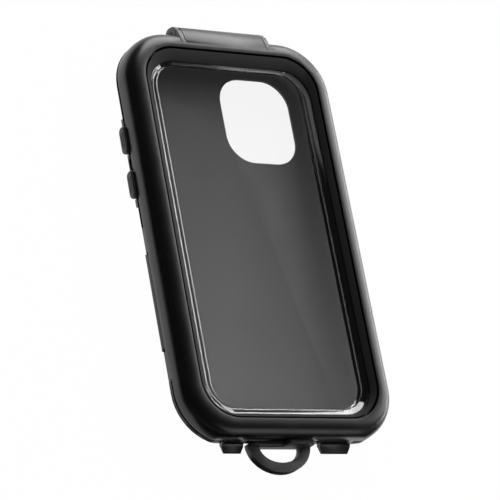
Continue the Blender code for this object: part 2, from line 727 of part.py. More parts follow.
def make_main_seal(material):
    """A soft ring in the groove of the rear shell, just clear of the frame's flat land."""
    low = FRAME_LAND - GAP - SEAL_HEIGHT
    high = FRAME_LAND - GAP
    outer = SEAL_OFFSET + SEAL_WIDTH / 2
    inner = SEAL_OFFSET - SEAL_WIDTH / 2
    crown = SEAL_WIDTH / 4
    loops = [
        rim_loop(low, outer),
        rim_loop(high - crown, outer),
        rim_loop(high, outer - crown),
        rim_loop(high, inner + crown),
        rim_loop(high - crown, inner),
        rim_loop(low, inner),
    ]
    return mesh_object("main_seal", loft(loops, closed_ring=True), material)


def make_hinge_pin(material):
    half = HINGE_WIDTH / 2
    place = (0.0, HINGE_Y, HINGE_Z)
    return mesh_object("hinge_pin", round_rod(HINGE_Y, HINGE_Z, PIN_RADIUS, -half, half), material, place)


def make_button(name, side, centre_y, length, material):
    """A pad outside the wall, with a stem that reaches through it to the phone's own key."""
    half = length / 2
    outer = WALL_X + PAD_PROUD
    inner = TONGUE_X + PAD_TRAVEL + GAP
    crown = PAD_PROUD / 2
    pad_low = PAD_LEVEL - PAD_HEIGHT / 2
    pad_high = PAD_LEVEL + PAD_HEIGHT / 2
    radius = PAD_HEIGHT / 2 - HAIR

    def pad_loop(x, inset):
        outline = rounded_outline(
            centre_y - half + inset,
            centre_y + half - inset,
            pad_low + inset,
            pad_high - inset,
            (radius - inset,) * 4,
        )
        return [(side * x, y, z) for y, z in outline]

    loops = [
        pad_loop(inner, 0.0),
        pad_loop(outer - crown, 0.0),
        pad_loop(outer - crown / 4, crown / 3),
        pad_loop(outer, crown),
    ]
    place = (side * inner, centre_y, PAD_LEVEL)
    pad = mesh_object(name, loft(loops), material, place)
    stem_half = length * STEM_SHARE / 2
    stem = side_block(
        side,
        -RIM_LINE_SETBACK + GAP,
        inner + crown - RIM_HALF_WIDTH,
        centre_y - stem_half,
        centre_y + stem_half,
        STEM_LEVEL - STEM_HEIGHT / 2,
        STEM_LEVEL + STEM_HEIGHT / 2,
    )
    add(pad, stem, f"{name}_stem")
    return pad


def make_button_seal(name, side, centre_y, length, material):
    """A soft ring round the stem, in its seat in the rear shell's wall."""
    stem_half = length * STEM_SHARE / 2 + GAP
    stem_z = STEM_HEIGHT / 2 + GAP
    outer = TONGUE_X - GAP
    inner = outer - BUTTON_SEAL_DEPTH

    def seal_loop(x, width):
        half_y = stem_half + width
        half_z = stem_z + width
        corners = ((-half_y, -half_z), (half_y, -half_z), (half_y, half_z), (-half_y, half_z))
        return [(side * x, centre_y + y, STEM_LEVEL + z) for y, z in corners]

    loops = [
        seal_loop(inner, BUTTON_SEAL_WIDTH),
        seal_loop(outer, BUTTON_SEAL_WIDTH),
        seal_loop(outer, 0.0),
        seal_loop(inner, 0.0),
    ]
    return mesh_object(name.replace("button", "seal"), loft(loops, closed_ring=True), material)


def half_oval(left, right, straight_y, far_y):
    """Points along half an oval, from the left end of its straight side round to the right end."""
    middle = (left + right) / 2
    steps = 2 * ARC_STEPS
    points = []
    for step in range(steps + 1):
        angle = math.pi * (1 + step / steps)
        reach = (straight_y - far_y) * math.sin(angle)
        points.append((middle + (right - left) / 2 * math.cos(angle), straight_y + reach))
    return points


def make_port_cover(material):
    """A soft flap over the port with a nose, a raised block and a pull loop."""
    radii = (COVER_CORNER,) * 4
    outline = rounded_outline(COVER_LEFT, COVER_RIGHT, COVER_LOW, COVER_HIGH, radii)
    loops = [[(x, y, z) for x, z in outline] for y in (COVER_INSIDE_Y, COVER_OUTSIDE_Y)]
    place = (0.0, COVER_AXIS_Y, COVER_AXIS_Z)
    flap = mesh_object("port_cover", loft(loops), material, place)

    block_top = COVER_HIGH + COVER_BLOCK_RISE
    outer = COVER_INSIDE_Y - COVER_BLOCK_THICKNESS
    outline = rounded_outline(COVER_BLOCK_LEFT, COVER_BLOCK_RIGHT, PORT_LEVEL, block_top, radii)
    loops = [[(x, y, z) for x, z in outline] for y in (COVER_INSIDE_Y, outer)]
    add(flap, loft(loops), "cover_block")

    nose_half = PORT_WIDTH / 2 - GAP
    low = PORT_LOW + GAP
    top = PORT_HIGH - GAP
    root = ((-nose_half, low), (nose_half, low), (nose_half, top), (-nose_half, top))
    end = ((-nose_half, low), (nose_half, low), (nose_half, top - COVER_NOSE_DRAFT))
    end = end + ((-nose_half, top - COVER_NOSE_DRAFT),)
    nose_end_y = COVER_INSIDE_Y + COVER_NOSE_DEPTH
    root_y = (COVER_INSIDE_Y + COVER_OUTSIDE_Y) / 2
    loops = [[(x, root_y, z) for x, z in root], [(x, nose_end_y, z) for x, z in end]]
    add(flap, loft(loops), "cover_nose")

    loop_low = LOOP_LEVEL - LOOP_HEIGHT / 2
    loop_high = LOOP_LEVEL + LOOP_HEIGHT / 2
    inside_y = COVER_OUTSIDE_Y + COVER_THICKNESS * 0.75
    outer = half_oval(LOOP_LEFT, LOOP_RIGHT, inside_y, COVER_OUTSIDE_Y - LOOP_REACH)
    inner = half_oval(
        LOOP_LEFT + LOOP_SIDE_BAND,
        LOOP_RIGHT - LOOP_SIDE_BAND,
        COVER_OUTSIDE_Y - GAP,
        COVER_OUTSIDE_Y - LOOP_REACH + LOOP_BAND,
    )
    loops = [
        flat_loop(outer, loop_low),
        flat_loop(outer, loop_high),
        flat_loop(inner, loop_high),
        flat_loop(inner, loop_low),
    ]
    add(flap, loft(loops, closed_ring=True), "pull_loop")
    return flap


def hang_on(empty_name, place, pieces):
    """Parent pieces to an empty on their common joint axis."""
    axis = bpy.data.objects.new(empty_name, None)
    axis.location = place
    bpy.context.scene.collection.objects.link(axis)
    bpy.context.view_layer.update()
    for piece in pieces:
        piece.parent = axis
        piece.matrix_parent_inverse = axis.matrix_world.inverted()


BUTTONS = (
    ("volume_up_button", -1, VOLUME_UP_Y, VOLUME_PAD_LENGTH),
    ("volume_down_button", -1, VOLUME_DOWN_Y, VOLUME_PAD_LENGTH),
    ("side_button", 1, SIDE_BUTTON_Y, SIDE_PAD_LENGTH),
)


def build():
    clear_scene()
    black_plastic = principled("black_plastic", (0.012, 0.012, 0.013), 0.42)
    dark_plastic = principled("dark_plastic", (0.018, 0.018, 0.020), 0.50)
    dark_rubber = principled("dark_rubber", (0.022, 0.023, 0.025), 0.70)
    clear_film = principled("clear_film", (0.30, 0.32, 0.34), 0.06, transmission=0.9)
    clear_pane = principled("clear_pane", (0.85, 0.87, 0.88), 0.04, transmission=0.95)
    steel = principled("steel", (0.45, 0.45, 0.46), 0.30, metallic=1.0)

    make_rear_shell(black_plastic)
    make_hinge_pin(steel)
    make_main_seal(dark_rubber)
    make_camera_window(clear_pane)
    make_camera_seal(dark_rubber)
    for name, side, centre_y, length in BUTTONS:
        make_button(name, side, centre_y, length, dark_rubber)
        make_button_seal(name, side, centre_y, length, dark_rubber)
    make_port_cover(dark_rubber)

    cover = (make_front_frame(black_plastic), make_film_retainer(dark_plastic), make_touch_film(clear_film))
    hang_on("cover_hinge_axis", (0.0, HINGE_Y, HINGE_Z), cover)


build()
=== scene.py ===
# %% [markdown]
# # A hinged hard case for a phone
# The case lies on its back on a pale floor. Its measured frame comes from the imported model, so every
# piece below is modelled straight at its place, in metres: +Z out of the front, +Y up to the hinge,
# +X to the right for someone who looks at the front.

# %% Load the frame
import math

import bmesh
import bpy
from mathutils import Matrix, Vector


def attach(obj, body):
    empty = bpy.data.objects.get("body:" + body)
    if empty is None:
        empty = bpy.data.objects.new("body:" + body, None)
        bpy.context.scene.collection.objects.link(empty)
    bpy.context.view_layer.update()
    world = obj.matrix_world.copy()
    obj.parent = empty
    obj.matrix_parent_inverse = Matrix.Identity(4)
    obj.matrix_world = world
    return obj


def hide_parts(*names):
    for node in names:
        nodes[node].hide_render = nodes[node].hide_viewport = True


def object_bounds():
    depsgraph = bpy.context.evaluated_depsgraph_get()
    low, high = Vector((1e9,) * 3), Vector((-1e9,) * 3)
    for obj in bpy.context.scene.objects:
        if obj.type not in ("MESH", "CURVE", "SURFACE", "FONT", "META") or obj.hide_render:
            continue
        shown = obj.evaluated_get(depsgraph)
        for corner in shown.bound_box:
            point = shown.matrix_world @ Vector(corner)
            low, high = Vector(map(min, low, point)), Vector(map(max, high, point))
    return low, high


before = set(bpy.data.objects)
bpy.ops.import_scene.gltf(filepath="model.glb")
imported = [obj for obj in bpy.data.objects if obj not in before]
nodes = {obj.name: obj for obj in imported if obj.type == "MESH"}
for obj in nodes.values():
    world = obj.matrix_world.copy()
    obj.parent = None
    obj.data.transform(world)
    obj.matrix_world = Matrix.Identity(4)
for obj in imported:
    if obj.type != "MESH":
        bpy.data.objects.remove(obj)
cad_box = [list(corner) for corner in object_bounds()]
print("case, mm:", [round((high - low) * 1000, 1) for low, high in zip(*cad_box)])

# %% [markdown]
# ## The view
# The picture looks down at the case from its lower left, and the camera is rolled so that the case
# nearly stands upright. A long lens a metre away keeps the two long sides almost parallel. The three
# directions below are the camera's right, down and forward, so together they are its whole turn.

# %% Camera
VIEW_RIGHT = Vector((0.850168, -0.174520, 0.496747))
VIEW_DOWN = Vector((0.040720, -0.918848, -0.392506))
VIEW_FORWARD = Vector((0.524935, 0.353923, -0.774068))
VIEW_PLACE = Vector((-0.5743315, -0.3910380, 0.8538872))
LENS = 201.973
SENSOR = 36.0

lens = bpy.data.cameras.new("photo_camera")
lens.lens = LENS
lens.sensor_width = SENSOR
lens.clip_end = 10.0
camera = bpy.data.objects.new("photo_camera", lens)
turn = Matrix((VIEW_RIGHT, -VIEW_DOWN, -VIEW_FORWARD)).transposed().to_4x4()
camera.matrix_world = Matrix.Translation(VIEW_PLACE) @ turn
bpy.context.scene.collection.objects.link(camera)
bpy.context.scene.camera = camera
print("camera height, m:", round(camera.location.z, 3))

# %% [markdown]
# ## Floor and light
# The backdrop of a product picture is plain white, with hardly any shadow. A white floor would need a
# great deal of light to look white, so here what the camera and the reflections see of it comes
# mostly from its own glow, and a share of ordinary white keeps the soft shadow.

# %% A finish to fill
def node_tree(name):
    """A new material without nodes, and its node tree."""
    made = bpy.data.materials.new(name)
    made.use_nodes = True
    made.node_tree.nodes.clear()
    return made, made.node_tree


# %% Floor
FLOOR_SIZE = 6.0
FLOOR_DROP = 0.0002
FLOOR_GLOW = 0.99
FLOOR_WHITE = 0.88

bpy.ops.object.select_all(action="DESELECT")
bpy.ops.mesh.primitive_plane_add(size=FLOOR_SIZE, location=(0, 0, -FLOOR_DROP))
floor = bpy.context.object
floor.name = "floor"
floor_finish, tree = node_tree("floor_white")
plain = tree.nodes.new("ShaderNodeBsdfDiffuse")
plain.inputs["Color"].default_value = (FLOOR_WHITE, FLOOR_WHITE, FLOOR_WHITE, 1)
glow = tree.nodes.new("ShaderNodeEmission")
glow.inputs["Color"].default_value = (1, 1, 1, 1)
path = tree.nodes.new("ShaderNodeLightPath")
seen = tree.nodes.new("ShaderNodeMath")
seen.operation = "MAXIMUM"
also = tree.nodes.new("ShaderNodeMath")
also.operation = "MAXIMUM"
share = tree.nodes.new("ShaderNodeMath")
share.operation = "MULTIPLY"
share.inputs[1].default_value = FLOOR_GLOW
both = tree.nodes.new("ShaderNodeMixShader")
out = tree.nodes.new("ShaderNodeOutputMaterial")
tree.links.new(path.outputs["Is Camera Ray"], seen.inputs[0])
tree.links.new(path.outputs["Is Glossy Ray"], seen.inputs[1])
tree.links.new(seen.outputs[0], also.inputs[0])
tree.links.new(path.outputs["Is Transmission Ray"], also.inputs[1])
tree.links.new(also.outputs[0], share.inputs[0])
tree.links.new(share.outputs[0], both.inputs[0])
tree.links.new(plain.outputs[0], both.inputs[1])
tree.links.new(glow.outputs[0], both.inputs[2])
tree.links.new(both.outputs[0], out.inputs["Surface"])
floor.data.materials.append(floor_finish)
print("floor, m:", FLOOR_SIZE)

# %% [markdown]
# Black plastic shows its lamps more than its colour. The hinge hood and the right slope are bright
# because they face two large panels low beside the case, and a weak panel in front lifts the free
# end. Two long strips just above the table light the upright walls, and a small lamp puts the bright
# spot on the lower right corner. Each lamp is given by compass direction and height, in degrees, so
# that it can be set from the way a slope mirrors the view.

# %% Studio lamps
WATTS_PER_GLOW = 4.0


def softbox(name, compass, height_angle, distance, width, height, glow):
    """A rectangular lamp that looks at the case; compass 0 is +X and 90 is +Y."""
    turn, rise = math.radians(compass), math.radians(height_angle)
    direction = (math.cos(turn) * math.cos(rise), math.sin(turn) * math.cos(rise), math.sin(rise))
    data = bpy.data.lights.new(name, "AREA")
    data.shape = "RECTANGLE"
    data.size = width
    data.size_y = height
    data.energy = glow * width * height * WATTS_PER_GLOW
    lamp = bpy.data.objects.new(name, data)
    toward = Vector(direction).normalized()
    lamp.location = toward * distance
    lamp.rotation_mode = "QUATERNION"
    lamp.rotation_quaternion = toward.to_track_quat("Z", "Y")
    lamp.visible_camera = False
    bpy.context.scene.collection.objects.link(lamp)


softbox("panel_hinge_side", 66, 27, 1.35, 0.95, 0.84, 5.0)
softbox("panel_right", 19, 22, 1.35, 0.95, 1.05, 2.9)
softbox("panel_front", -62, 28, 1.40, 0.80, 0.80, 1.05)
softbox("corner_light", -10, 8, 1.30, 0.25, 0.22, 5.0)
softbox("strip_hinge_side", 62, 3, 1.30, 1.10, 0.20, 2.3)
softbox("strip_right", 13, 2, 1.30, 1.05, 0.10, 9.0)

# %% [markdown]
# The flat film mirrors one more lamp, high on the far right: the film is pale at the bottom and dark
# at the top. A lamp object has one strength all over, so this one is a plane that glows, and its
# strength falls away evenly from the side near the case to the far side.

# %% Gradient panel over the film
PANEL_HEIGHT = 1.5
PANEL_X = (0.55, 1.30)
PANEL_Y = (0.15, 0.98)
PANEL_DARK_Y = 0.975
PANEL_BRIGHT_Y = 0.492
PANEL_GLOW = 0.92

bpy.ops.object.select_all(action="DESELECT")
bpy.ops.mesh.primitive_plane_add(
    size=1, location=(sum(PANEL_X) / 2, sum(PANEL_Y) / 2, PANEL_HEIGHT))
panel = bpy.context.object
panel.name = "gradient_panel"
panel.scale = (PANEL_X[1] - PANEL_X[0], PANEL_Y[1] - PANEL_Y[0], 1)
bpy.ops.object.transform_apply(location=True, rotation=True, scale=True)
panel_finish, tree = node_tree("panel_gradient")
where = tree.nodes.new("ShaderNodeTexCoord")
axes = tree.nodes.new("ShaderNodeSeparateXYZ")
along = tree.nodes.new("ShaderNodeMapRange")
along.inputs["From Min"].default_value = PANEL_DARK_Y
along.inputs["From Max"].default_value = PANEL_BRIGHT_Y
level = tree.nodes.new("ShaderNodeMath")
level.operation = "MULTIPLY"
level.inputs[1].default_value = PANEL_GLOW
glow = tree.nodes.new("ShaderNodeEmission")
out = tree.nodes.new("ShaderNodeOutputMaterial")
tree.links.new(where.outputs["Object"], axes.inputs[0])
tree.links.new(axes.outputs["Y"], along.inputs["Value"])
tree.links.new(along.outputs[0], level.inputs[0])
tree.links.new(level.outputs[0], glow.inputs["Strength"])
tree.links.new(glow.outputs[0], out.inputs["Surface"])
panel.data.materials.append(panel_finish)
panel.visible_camera = False
panel.visible_shadow = False
print("panel, m:", [round(value, 2) for value in panel.dimensions])

# %% [markdown]
# Two black cards lie on the table, out of the picture's sight. The one in front of the case is what
# the steep wall of the film at the hinge end and the flat wall of the frame at the free end mirror.
# The one at the left keeps the frame's left slope dark, and leaves a bright strip of table right
# beside the case for the upright walls. Only mirrored rays meet the cards.

# %% Black cards
CARD_LIFT = 0.0002
CARDS = (
    ("card_front", (0.12, -0.26, CARD_LIFT), (0.50, 0.34)),
    ("card_left", (-0.560, 0.20, CARD_LIFT), (0.99, 1.00)),
)

card_finish, tree = node_tree("card_black")
plain = tree.nodes.new("ShaderNodeBsdfDiffuse")
plain.inputs["Color"].default_value = (0.02, 0.02, 0.02, 1)
out = tree.nodes.new("ShaderNodeOutputMaterial")
tree.links.new(plain.outputs[0], out.inputs["Surface"])
for name, middle, size in CARDS:
    bpy.ops.object.select_all(action="DESELECT")
    bpy.ops.mesh.primitive_plane_add(size=1, location=middle)
    card = bpy.context.object
    card.name = name
    card.scale = (*size, 1)
    bpy.ops.object.transform_apply(location=True, rotation=True, scale=True)
    card.data.materials.append(card_finish)
    card.visible_camera = False
    card.visible_diffuse = False
    card.visible_shadow = False
    card.visible_transmission = False
    print(name, "m:", size)

# %% [markdown]
# A faint even light from all round keeps the darkest corners from going fully black. The Standard
# view transform shows each colour about as it is written.

# %% World
WORLD_LIGHT = 0.05

world = bpy.data.worlds.new("studio")
bpy.context.scene.world = world
world.use_nodes = True
world.node_tree.nodes["Background"].inputs["Color"].default_value = (1, 1, 1, 1)
world.node_tree.nodes["Background"].inputs["Strength"].default_value = WORLD_LIGHT
bpy.context.scene.view_settings.view_transform = "Standard"
print("world light:", WORLD_LIGHT)

# %% [markdown]
# ## Finishes
# Moulded black plastic is never perfectly smooth. The mould is spark-eroded, which leaves a fine,
# even grain of about a tenth of a millimetre, and the skin is a little glossier in some places than
# in others. Both come from noise on the object's own coordinates, so that they stay on the piece
# when it moves.

# %% A moulded skin
PLASTIC_IOR = 1.5
CLOUD_SCALE = 90.0
GLOSS_SPREAD = 0.06


def moulded(name, colour, roughness, grain, depth, shine=0.5):
    """Dark moulded skin: a fine grain in the bump, and slow variation in the gloss."""
    made, tree = node_tree(name)
    shader = tree.nodes.new("ShaderNodeBsdfPrincipled")
    shader.inputs["Base Color"].default_value = (*colour, 1)
    shader.inputs["IOR"].default_value = PLASTIC_IOR
    shader.inputs["Specular IOR Level"].default_value = shine
    where = tree.nodes.new("ShaderNodeTexCoord")
    fine = tree.nodes.new("ShaderNodeTexNoise")
    fine.inputs["Scale"].default_value = 1.0 / grain
    fine.inputs["Detail"].default_value = 2.0
    broad = tree.nodes.new("ShaderNodeTexNoise")
    broad.inputs["Scale"].default_value = CLOUD_SCALE
    broad.inputs["Detail"].default_value = 3.0
    gloss = tree.nodes.new("ShaderNodeMapRange")
    gloss.inputs["From Min"].default_value = 0.3
    gloss.inputs["From Max"].default_value = 0.7
    gloss.inputs["To Min"].default_value = roughness - GLOSS_SPREAD / 2
    gloss.inputs["To Max"].default_value = roughness + GLOSS_SPREAD / 2
    bump = tree.nodes.new("ShaderNodeBump")
    bump.inputs["Strength"].default_value = 1.0
    bump.inputs["Distance"].default_value = depth
    out = tree.nodes.new("ShaderNodeOutputMaterial")
    tree.links.new(where.outputs["Object"], fine.inputs["Vector"])
    tree.links.new(where.outputs["Object"], broad.inputs["Vector"])
    tree.links.new(broad.outputs[0], gloss.inputs["Value"])
    tree.links.new(gloss.outputs[0], shader.inputs["Roughness"])
    tree.links.new(fine.outputs[0], bump.inputs["Height"])
    tree.links.new(bump.outputs[0], shader.inputs["Normal"])
    tree.links.new(shader.outputs[0], out.inputs["Surface"])
    return made


# %% [markdown]
# The outside of both shells is satin plastic. The ring round the film and the floor of the tray have
# a much duller skin, because no lamp draws a clear shape on them. The rubber of the seals and of the
# port cover is a little paler than the plastic, and that of the pads paler still.

# %% Plastic and rubber
satin_black = moulded("satin_black", (0.0065, 0.0065, 0.0068), 0.30, 0.00016, 0.000012)
ring_black = moulded("ring_black", (0.042, 0.042, 0.0425), 0.70, 0.00016, 0.000006, shine=0.03)
tray_black = moulded("tray_black", (0.005, 0.005, 0.0052), 0.50, 0.00022, 0.0000008, shine=0.3)
soft_rubber = moulded("soft_rubber", (0.030, 0.030, 0.031), 0.50, 0.00018, 0.000010, shine=0.7)
pad_rubber = moulded("pad_rubber", (0.085, 0.085, 0.087), 0.50, 0.00018, 0.000010, shine=0.8)
print("moulded finishes:", satin_black.name, ring_black.name, tray_black.name, soft_rubber.name,
      pad_rubber.name)

# %% [markdown]
# The film and the camera pane are thin clear sheets. A full glass shader would bend the light twice
# and darken what lies behind, so each is a mix of plain see-through and a mirror-like gloss, in the
# share that Fresnel's law gives for the angle. The light isn't bent inside the sheet, so its back
# face uses the same share as its front: the power of minus one turns the index over there.

# %% Clear sheets
def clear_sheet(name, tint, roughness, ior):
    """See-through with a gloss by Fresnel's law; the index is turned over on the back faces."""
    made, tree = node_tree(name)
    through = tree.nodes.new("ShaderNodeBsdfTransparent")
    through.inputs["Color"].default_value = (*tint, 1)
    gloss = tree.nodes.new("ShaderNodeBsdfGlossy")
    gloss.inputs["Color"].default_value = (1, 1, 1, 1)
    gloss.inputs["Roughness"].default_value = roughness
    facing = tree.nodes.new("ShaderNodeNewGeometry")
    side = tree.nodes.new("ShaderNodeMath")
    side.operation = "MULTIPLY_ADD"
    side.inputs[1].default_value = -2.0
    side.inputs[2].default_value = 1.0
    index = tree.nodes.new("ShaderNodeMath")
    index.operation = "POWER"
    index.inputs[0].default_value = ior
    fresnel = tree.nodes.new("ShaderNodeFresnel")
    both = tree.nodes.new("ShaderNodeMixShader")
    out = tree.nodes.new("ShaderNodeOutputMaterial")
    tree.links.new(facing.outputs["Backfacing"], side.inputs[0])
    tree.links.new(side.outputs[0], index.inputs[1])
    tree.links.new(index.outputs[0], fresnel.inputs["IOR"])
    tree.links.new(fresnel.outputs[0], both.inputs[0])
    tree.links.new(through.outputs[0], both.inputs[1])
    tree.links.new(gloss.outputs[0], both.inputs[2])
    tree.links.new(both.outputs[0], out.inputs["Surface"])
    return made


film_clear = clear_sheet("film_clear", (0.995, 0.995, 0.995), 0.03, 1.5)
pane_clear = clear_sheet("pane_clear", (1.0, 1.0, 1.0), 0.01, 1.2)
print("clear finishes:", film_clear.name, pane_clear.name)

# %% [markdown]
# The hinge pin is a turned steel rod. Hardly any of it shows between the ears and the barrel, so a
# plain metal with a fine noise in its roughness is enough.

# %% Turned steel
turned_steel, tree = node_tree("turned_steel")
shader = tree.nodes.new("ShaderNodeBsdfPrincipled")
shader.inputs["Base Color"].default_value = (0.42, 0.42, 0.43, 1)
shader.inputs["Metallic"].default_value = 1.0
where = tree.nodes.new("ShaderNodeTexCoord")
rings = tree.nodes.new("ShaderNodeTexNoise")
rings.inputs["Scale"].default_value = 2500.0
gloss = tree.nodes.new("ShaderNodeMapRange")
gloss.inputs["To Min"].default_value = 0.25
gloss.inputs["To Max"].default_value = 0.45
out = tree.nodes.new("ShaderNodeOutputMaterial")
tree.links.new(where.outputs["Object"], rings.inputs["Vector"])
tree.links.new(rings.outputs[0], gloss.inputs["Value"])
tree.links.new(gloss.outputs[0], shader.inputs["Roughness"])
tree.links.new(shader.outputs[0], out.inputs["Surface"])
print("metal finish:", turned_steel.name)

# %% [markdown]
# ## Soft edges on moulded parts
# A moulded or machined edge is never razor sharp: a small radius catches the light and draws a thin
# bright line. The measured solids have sharp edges, so each large part is copied, its loose
# triangles are merged into clean faces, and a narrow bevel rounds what is left of the edges. The
# copy then stands for the measured part. Modelling these parts anew would only risk their fit.

# %% A copy with rounded edges
EDGE_ANGLE = math.radians(35)
COPY_SHADE_ANGLE = math.radians(32)
MERGE_DISTANCE = 0.000002
FLAT_ANGLE = math.radians(0.5)


def only(piece):
    """Select nothing but this piece, and make it the active one."""
    bpy.ops.object.select_all(action="DESELECT")
    piece.select_set(True)
    bpy.context.view_layer.objects.active = piece


def round_edges(made, width, steps, shade_angle):
    """Round the sharp edges of the active piece, and shade it smooth up to an angle."""
    edge = made.modifiers.new("edge", "BEVEL")
    edge.width = width
    edge.segments = steps
    edge.limit_method = "ANGLE"
    edge.angle_limit = EDGE_ANGLE
    bpy.ops.object.modifier_apply(modifier="edge")
    bpy.ops.object.shade_smooth_by_angle(angle=shade_angle)


def rounded_copy(node, name, radius, material, body, steps=2):
    made = bpy.data.objects.new(name, nodes[node].data.copy())
    bpy.context.scene.collection.objects.link(made)
    only(made)
    bpy.ops.object.mode_set(mode="EDIT")
    bpy.ops.mesh.select_all(action="SELECT")
    bpy.ops.mesh.remove_doubles(threshold=MERGE_DISTANCE)
    bpy.ops.mesh.dissolve_limited(angle_limit=FLAT_ANGLE)
    bpy.ops.object.mode_set(mode="OBJECT")
    round_edges(made, radius, steps, COPY_SHADE_ANGLE)
    made.data.materials.clear()
    made.data.materials.append(material)
    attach(made, body)
    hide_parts(node)
    print(name, "faces:", len(made.data.polygons))
    return made


# %% [markdown]
# Plastic edges get a radius of one or two tenths of a millimetre. The rubber parts are moulded with
# rounder edges, so theirs is about twice as large and has one more step.

# %% Large parts and pads
PADS = (
    ("volume_up_button", "volume_up", -1),
    ("volume_down_button", "volume_down", -1),
    ("side_button", "side_key", 1),
)

rounded_copy("front_frame", "frame_skin", 0.00016, satin_black, "cover")
shell_skin = rounded_copy("rear_shell", "shell_skin", 0.00020, tray_black, "rear")
ring_skin = rounded_copy("film_retainer", "ring_skin", 0.00012, ring_black, "cover")
rounded_copy("port_cover", "port_cover_skin", 0.00045, soft_rubber, "port_flap", 3)
for pad, rider, _ in PADS:
    rounded_copy(pad, pad + "_skin", 0.0004, pad_rubber, rider, 3)

# %% [markdown]
# The rear shell is one moulding with two skins: dull in the tray under the film, and satin like the
# frame all round the outside. A second material does that without a cut, on the faces that lie
# further out than the tray.

# %% Satin outside on the rear shell
OUTER_X, OUTER_Y = 0.0430, 0.0810

shell_skin.data.materials.append(satin_black)
satin_slot = len(shell_skin.data.materials) - 1
for face in shell_skin.data.polygons:
    if abs(face.center.x) > OUTER_X or abs(face.center.y) > OUTER_Y:
        face.material_index = satin_slot
print("satin faces:", sum(face.material_index == satin_slot for face in shell_skin.data.polygons))

# %% [markdown]
# The dark line between the frame and the ring is a little wider than the gap that the solids need,
# so the outer wall of the ring is drawn in by half a millimetre. A resize of that wall alone
# does it: its two factors are worked out from the ring's own width and length. A point belongs to the
# wall when it lies on the outer outline, whose corners have the radius given here.

# %% A wider groove round the ring
GROOVE = 0.00050
RING_CORNER = 0.0145
WALL_REACH = 0.0003

only(ring_skin)
bpy.ops.object.mode_set(mode="EDIT")
mesh = bmesh.from_edit_mesh(ring_skin.data)
half_x = max(vert.co.x for vert in mesh.verts)
half_y = max(vert.co.y for vert in mesh.verts)
for vert in mesh.verts:
    corner_x = max(abs(vert.co.x) - (half_x - RING_CORNER), 0)
    corner_y = max(abs(vert.co.y) - (half_y - RING_CORNER), 0)
    vert.select_set(math.hypot(corner_x, corner_y) > RING_CORNER - WALL_REACH)
mesh.select_flush_mode()
bmesh.update_edit_mesh(ring_skin.data)
bpy.ops.transform.resize(
    value=((half_x - GROOVE) / half_x, (half_y - GROOVE) / half_y, 1), center_override=(0, 0, 0))
bpy.ops.object.mode_set(mode="OBJECT")
print("ring half width, mm:", round(max(v.co.x for v in ring_skin.data.vertices) * 1000, 2))

# %% [markdown]
# ## The touch film
# The film is a clear sheet that was warmed and pressed over a stepped form. Its middle lies flat over
# the screen, and its border rises in two soft steps to the flange that the ring holds. Those steps
# catch the light as the two thin lines along the edge. A stack of rounded outlines, each a little
# further out and higher than the last, gives exactly that.

# %% Outlines that grow
START_HALF = 1.0
START_CORNER = 0.5
CORNERS = ((-1, -1), (1, -1), (1, 1), (-1, 1))


def start_outline(name, corner_steps):
    """A square plane with rounded corners, of which only the outline is kept."""
    bpy.ops.object.select_all(action="DESELECT")
    bpy.ops.mesh.primitive_plane_add(size=2 * START_HALF, location=(0, 0, 0))
    made = bpy.context.object
    made.name = name
    bpy.ops.object.mode_set(mode="EDIT")
    bpy.ops.mesh.select_all(action="SELECT")
    bpy.ops.mesh.bevel(offset=START_CORNER, segments=corner_steps, profile=0.5, affect="VERTICES")
    bpy.ops.mesh.delete(type="ONLY_FACE")
    bpy.ops.mesh.select_all(action="SELECT")
    middle = START_HALF - START_CORNER
    state = {(sx, sy): (Vector((middle * sx, middle * sy, 0)), START_CORNER) for sx, sy in CORNERS}
    return made, state


def move_corners(made, state, left, right, bottom, top, radius, z):
    """Move the selected outline: each corner is scaled about its centre and then shifted."""
    mesh = bmesh.from_edit_mesh(made.data)
    middle = sum((centre for centre, _ in state.values()), Vector()) / 4
    picked = [v for v in mesh.verts if v.select]
    for sx, sy in CORNERS:
        centre, old = state[(sx, sy)]
        new = Vector(((left + radius) if sx < 0 else (right - radius),
                      (bottom + radius) if sy < 0 else (top - radius), z))
        for vert in mesh.verts:
            vert.select_set(False)
        for vert in picked:
            if (vert.co.x - middle.x) * sx > 0 and (vert.co.y - middle.y) * sy > 0:
                vert.select_set(True)
        mesh.select_flush_mode()
        bmesh.update_edit_mesh(made.data)
        scale = radius / old
        bpy.ops.transform.resize(value=(scale, scale, 1), center_override=centre)
        bpy.ops.transform.translate(value=new - centre)
        state[(sx, sy)] = (new, radius)
    for vert in mesh.verts:
        vert.select_set(False)
    for vert in picked:
        vert.select_set(True)
    mesh.select_flush_mode()
    bmesh.update_edit_mesh(made.data)


def grow_outline(made, state, *place):
    """Extrude the selected outline and move the new one to its place."""
    bpy.ops.mesh.extrude_edges_move()
    move_corners(made, state, *place)


# %% [markdown]
# Each row of the table below is one outline, from the flat middle out to the flange. Its first four
# numbers say how far inside the rim line the outline lies at the left, right, top and bottom, and
# the fifth how deep it lies under the front, all in millimetres. The corners grow rounder on the way
# out. The last outline lies under the ring, short of the rim line, so that none of the clear sheet
# shows in the dark groove. The sheet is drawn very thin, because a thick wall would fold over itself
# at the short steps.

